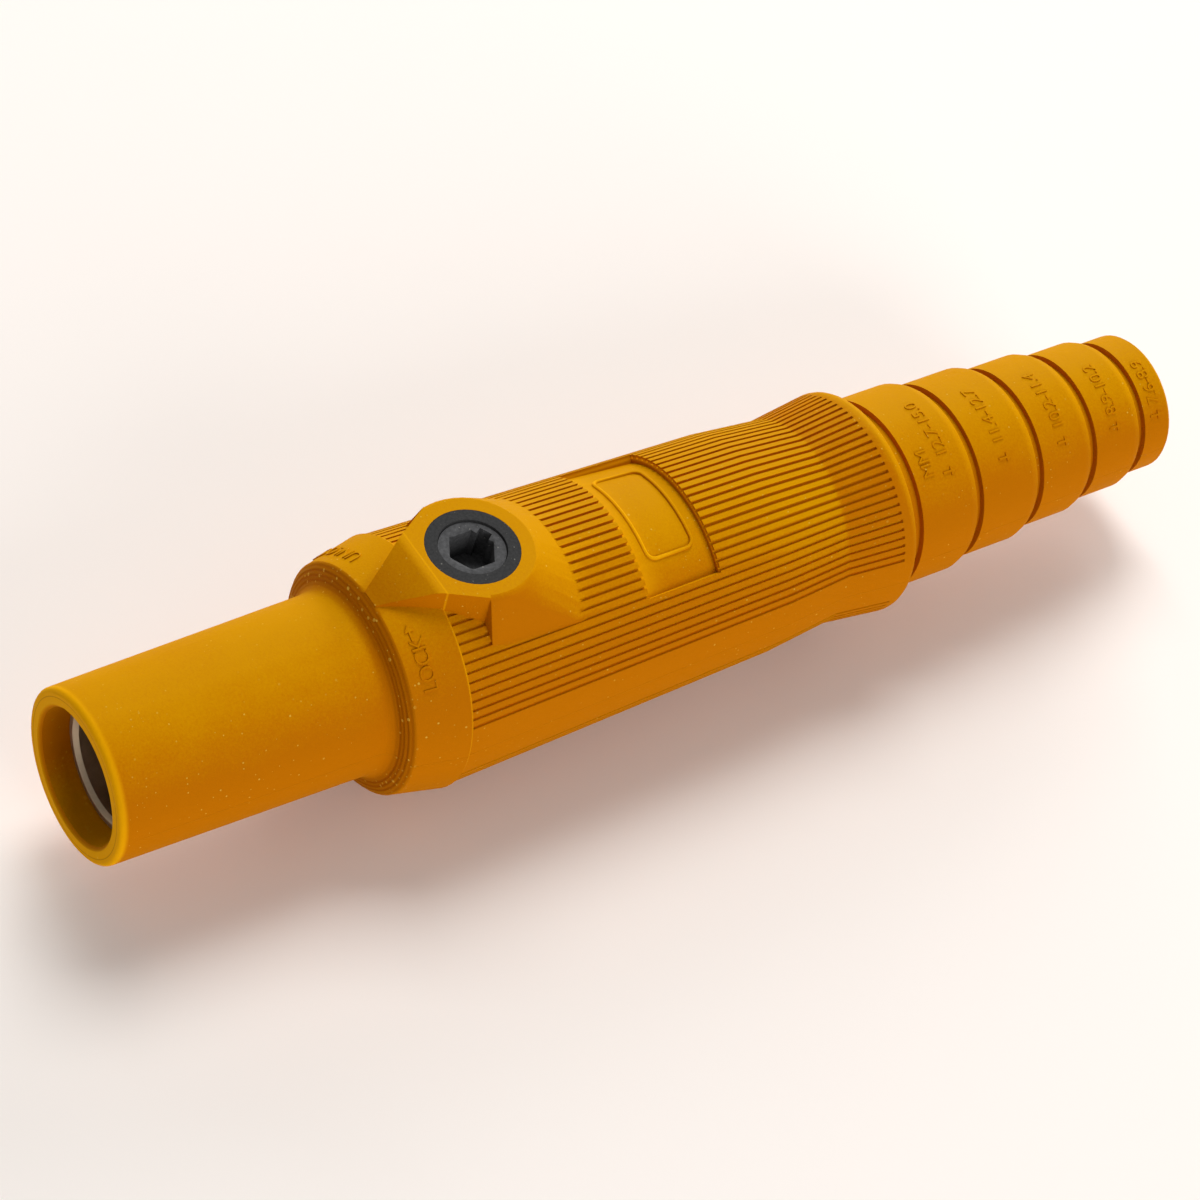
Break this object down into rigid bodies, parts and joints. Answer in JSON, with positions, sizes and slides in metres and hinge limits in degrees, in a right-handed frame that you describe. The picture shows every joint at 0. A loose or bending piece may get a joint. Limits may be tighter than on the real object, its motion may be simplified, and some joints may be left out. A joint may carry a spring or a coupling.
{
  "type": "single-pole power plug",
  "caption": "Inline single-pole power plug with a moulded rubber sleeve, a recessed brass socket, a keyed retaining screw and stepped cable seal rings.",
  "frame": {"origin": "centre of the front face, on the plug's axis", "axes": "+X along the plug's axis toward the cable end, +Z through the axis of the screw boss, +Y to the side"},
  "size_m": [0.1144, 0.0232, 0.0247],
  "materials": {
    "yellow_rubber": "moulded, satin",
    "black_plastic": "moulded, satin",
    "contact_brass": "turned, tinned",
    "steel": "plain"
  },
  "bodies": {
    "plug": {"insulator_body": "yellow_rubber", "screw_bushing": "black_plastic", "socket_contact": "contact_brass", "cam_pin": "steel"},
    "retainer": {"retaining_screw": "black_plastic"},
    "front_clamp": {"clamp_screw_front": "steel"},
    "rear_clamp": {"clamp_screw_rear": "steel"}
  },
  "joints": [
    {"name": "retainer_lift", "type": "slide", "parent": "plug", "child": "retainer", "axis": [0, 0, 1], "range_m": [0, 0.0091]},
    {"name": "front_clamp_feed", "type": "slide", "parent": "plug", "child": "front_clamp", "axis": [0, 0, 1], "range_m": [0, 0.003]},
    {"name": "rear_clamp_feed", "type": "slide", "parent": "plug", "child": "rear_clamp", "axis": [0, 0, 1], "range_m": [0, 0.003]}
  ]
}
